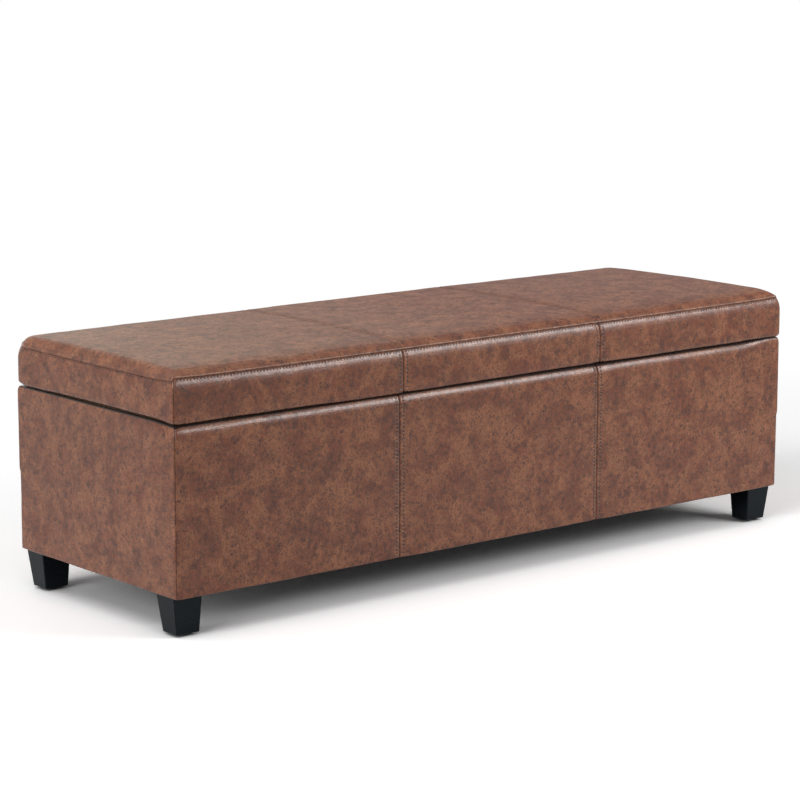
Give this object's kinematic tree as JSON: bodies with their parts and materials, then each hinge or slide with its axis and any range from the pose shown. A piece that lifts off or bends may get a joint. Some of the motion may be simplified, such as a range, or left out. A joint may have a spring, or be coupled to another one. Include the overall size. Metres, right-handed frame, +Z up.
{
  "type": "storage bench",
  "caption": "Long upholstered storage bench: padded hinged lid over a lined compartment, covers sewn in panels, folding lid stays and tapered block feet.",
  "frame": {"origin": "on the floor, under the middle of the closed bench", "axes": "+X along the length to the right seen from the front, +Y from front to back, +Z up"},
  "size_m": [1.219, 0.415, 0.391],
  "materials": {
    "cover": "distressed saddle-brown faux leather, satin",
    "board": "plain plywood",
    "timber": "planed softwood",
    "padding": "open-cell foam and fibre wadding",
    "lining": "black non-woven cloth",
    "foot": "near-black satin stain",
    "glide": "black plastic",
    "bumper": "black rubber",
    "steel": "zinc-plated steel"
  },
  "bodies": {
    "base": {"back_cover": "cover", "back_left_foot": "foot", "back_padding": "padding", "back_panel": "board", "back_right_foot": "foot", "corner_posts": "timber", "dust_cover": "lining", "floor_panel": "board", "foot_bolts": "steel", "foot_glides": "glide", "foot_tee_nuts": "steel", "front_cover_centre": "cover", "front_cover_left": "cover", "front_cover_right": "cover", "front_left_foot": "foot", "front_padding": "padding", "front_panel": "board", "front_right_foot": "foot", "hinge_base_leaves": "steel", "hinge_base_screws": "steel", "hinge_pins": "steel", "left_end_cover": "cover", "left_end_padding": "padding", "left_end_panel": "board", "left_stay_base_bracket": "steel", "right_end_cover": "cover", "right_end_padding": "padding", "right_end_panel": "board", "right_stay_base_bracket": "steel", "rim_bumpers": "bumper", "stay_base_screws": "steel", "storage_lining": "lining"},
    "lid": {"hinge_lid_leaves": "steel", "hinge_lid_screws": "steel", "left_stay_lid_bracket": "steel", "lid_back_cover": "cover", "lid_back_rail": "timber", "lid_board": "board", "lid_edge_padding": "padding", "lid_foam": "padding", "lid_front_cover_centre": "cover", "lid_front_cover_left": "cover", "lid_front_cover_right": "cover", "lid_front_rail": "timber", "lid_left_end_cover": "cover", "lid_left_rail": "timber", "lid_lining": "lining", "lid_right_end_cover": "cover", "lid_right_rail": "timber", "lid_top_cover_centre": "cover", "lid_top_cover_left": "cover", "lid_top_cover_right": "cover", "lid_wadding": "padding", "right_stay_lid_bracket": "steel", "stay_lid_screws": "steel"},
    "left_stay_arm": {"left_stay_arm": "steel"},
    "left_stay_link": {"left_stay_link": "steel"},
    "right_stay_arm": {"right_stay_arm": "steel"},
    "right_stay_link": {"right_stay_link": "steel"}
  },
  "joints": [
    {"name": "lid_hinge", "type": "hinge", "parent": "base", "child": "lid", "pos_m": [0, 0.2045, 0.3135], "axis": [-1, 0, 0], "range_deg": [0, 100]},
    {"name": "left_stay_arm_pivot", "type": "hinge", "parent": "base", "child": "left_stay_arm", "pos_m": [-0.57825, 0.1295, 0.2035], "axis": [-1, 0, 0], "range_deg": [0, 100]},
    {"name": "left_stay_knuckle", "type": "hinge", "parent": "left_stay_arm", "child": "left_stay_link", "pos_m": [-0.57525, -0.0405, 0.194], "axis": [-1, 0, 0], "range_deg": [-100, 0]},
    {"name": "right_stay_arm_pivot", "type": "hinge", "parent": "base", "child": "right_stay_arm", "pos_m": [0.57825, 0.1295, 0.2035], "axis": [-1, 0, 0], "range_deg": [0, 100]},
    {"name": "right_stay_knuckle", "type": "hinge", "parent": "right_stay_arm", "child": "right_stay_link", "pos_m": [0.57525, -0.0405, 0.194], "axis": [-1, 0, 0], "range_deg": [-100, 0]}
  ],
  "couplings": [
    {"joint": "left_stay_arm_pivot", "follows": "lid_hinge", "ratio": 1},
    {"joint": "left_stay_knuckle", "follows": "lid_hinge", "ratio": -1},
    {"joint": "right_stay_arm_pivot", "follows": "lid_hinge", "ratio": 1},
    {"joint": "right_stay_knuckle", "follows": "lid_hinge", "ratio": -1}
  ]
}
